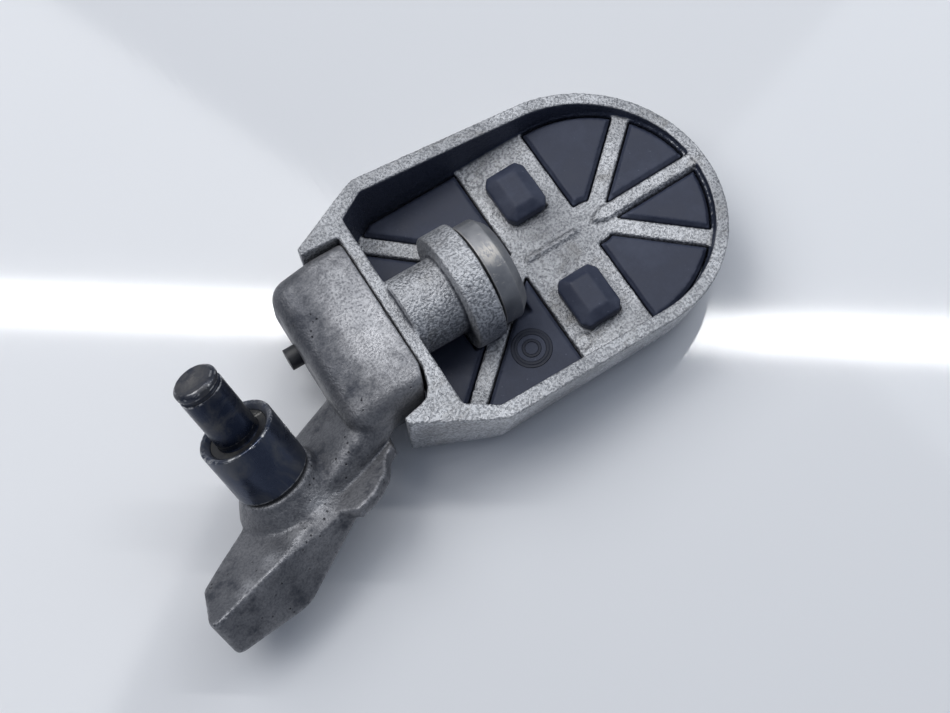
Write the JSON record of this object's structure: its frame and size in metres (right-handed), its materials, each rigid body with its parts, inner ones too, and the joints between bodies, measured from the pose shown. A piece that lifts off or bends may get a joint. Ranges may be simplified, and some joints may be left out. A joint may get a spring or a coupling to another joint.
{
  "type": "motorcycle foot peg",
  "caption": "Wide folding motorcycle foot peg: cast pad with rubber tread, rocking on a bushed spindle, carried by a cranked arm on an inclined hinge pin.",
  "frame": {"origin": "on the hinge axis, at the face where the pivot sleeve meets the arm's boss", "axes": "+X outboard along the spindle, +Z the side away from the foot with the tread facing -Z, +Y towards the pad's longer side from the hinge"},
  "size_m": [0.1786, 0.0936, 0.0525],
  "materials": {
    "pad_casting": "as cast, lightly worn",
    "tread_rubber": "matt, slightly polished by use",
    "arm_forging": "scaled and greasy, worn bright along the ridge",
    "sleeve_steel": "oiled, blue-black",
    "pin_steel": "oiled, scuffed",
    "limit_pin_steel": "dull",
    "spindle_steel": "turned, scratched",
    "bush_steel": "plain",
    "washer_steel": "dull",
    "bush_bronze": "plain",
    "bush_rubber": "matt",
    "washer_rubber": "matt"
  },
  "bodies": {
    "mount": {"pivot_sleeve": "sleeve_steel", "sleeve_bush": "bush_bronze"},
    "arm": {"hinge_arm": "arm_forging", "hinge_pin": "pin_steel", "hinge_washer": "washer_rubber", "spindle": "spindle_steel", "cross_pin": "pin_steel", "limit_pin": "limit_pin_steel", "inner_bush_core": "bush_steel", "outer_bush_core": "bush_steel", "inner_thrust_washer": "washer_steel", "outer_thrust_washer": "washer_steel", "spindle_seal": "bush_rubber"},
    "pad": {"pad_frame": "pad_casting", "tread_rubber": "tread_rubber", "inner_bush_shell": "bush_steel", "inner_bush_rubber": "bush_rubber", "outer_bush_shell": "bush_steel", "outer_bush_rubber": "bush_rubber"}
  },
  "joints": [
    {"name": "fold", "type": "hinge", "parent": "mount", "child": "arm", "pos_m": [0, 0, 0], "axis": [-0.1493, 0.5736, 0.8054], "range_deg": [0, 85]},
    {"name": "rock", "type": "hinge", "parent": "arm", "child": "pad", "pos_m": [0.05004, 0.01804, 0.0011], "axis": [1, 0, 0], "range_deg": [-4, 4], "stiffness_Nm_per_rad": 40}
  ]
}
